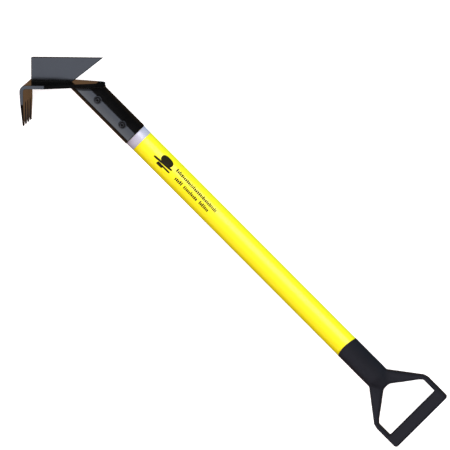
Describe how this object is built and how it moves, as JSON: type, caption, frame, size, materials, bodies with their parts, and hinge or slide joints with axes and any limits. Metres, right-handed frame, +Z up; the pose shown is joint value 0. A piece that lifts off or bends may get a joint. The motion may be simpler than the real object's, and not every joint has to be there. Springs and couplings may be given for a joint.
{
  "type": "fire and demolition pulling hook",
  "caption": "Hand tool with a toothed steel hook plate and upright fin blade on a tube socket, bolted to a round yellow pole with a D grip, for stripping roofing, siding and ceilings.",
  "frame": {"origin": "on the ground under the middle of the tool's box, with the tool lying on its side", "axes": "+X along the pole towards the head, +Y towards the side that the teeth point to, +Z up, square to the flat of the tool"},
  "size_m": [0.9134, 0.1816, 0.1232],
  "materials": {
    "black_steel": "gloss black powder coat",
    "black_fastener": "black oxide steel, satin",
    "nylon": "plain",
    "fibreglass": "pultruded, smooth",
    "foam": "fine open texture",
    "hardwood": "turned, unfinished",
    "yellow_jacket": "gloss, bright yellow",
    "reflective_sheet": "silver-white reflective sheeting",
    "black_grip": "fine moulded texture"
  },
  "bodies": {
    "root": {"tine_plate": "black_steel", "fin_blade": "black_steel", "socket_tube": "black_steel", "blade_weld_near": "black_steel", "blade_weld_far": "black_steel", "socket_weld": "black_steel", "socket_bolt_lower": "black_fastener", "socket_bolt_upper": "black_fastener", "head_washer_lower": "black_fastener", "head_washer_upper": "black_fastener", "nut_washer_lower": "black_fastener", "nut_washer_upper": "black_fastener", "lock_nut_lower": "black_fastener", "lock_nut_upper": "black_fastener", "grip_screw": "black_fastener", "nylon_insert_lower": "nylon", "nylon_insert_upper": "nylon", "pole_core": "fibreglass", "foam_core": "foam", "head_plug": "hardwood", "grip_plug": "hardwood", "pole_jacket": "yellow_jacket", "reflective_band": "reflective_sheet", "d_grip": "black_grip"}
  },
  "joints": []
}
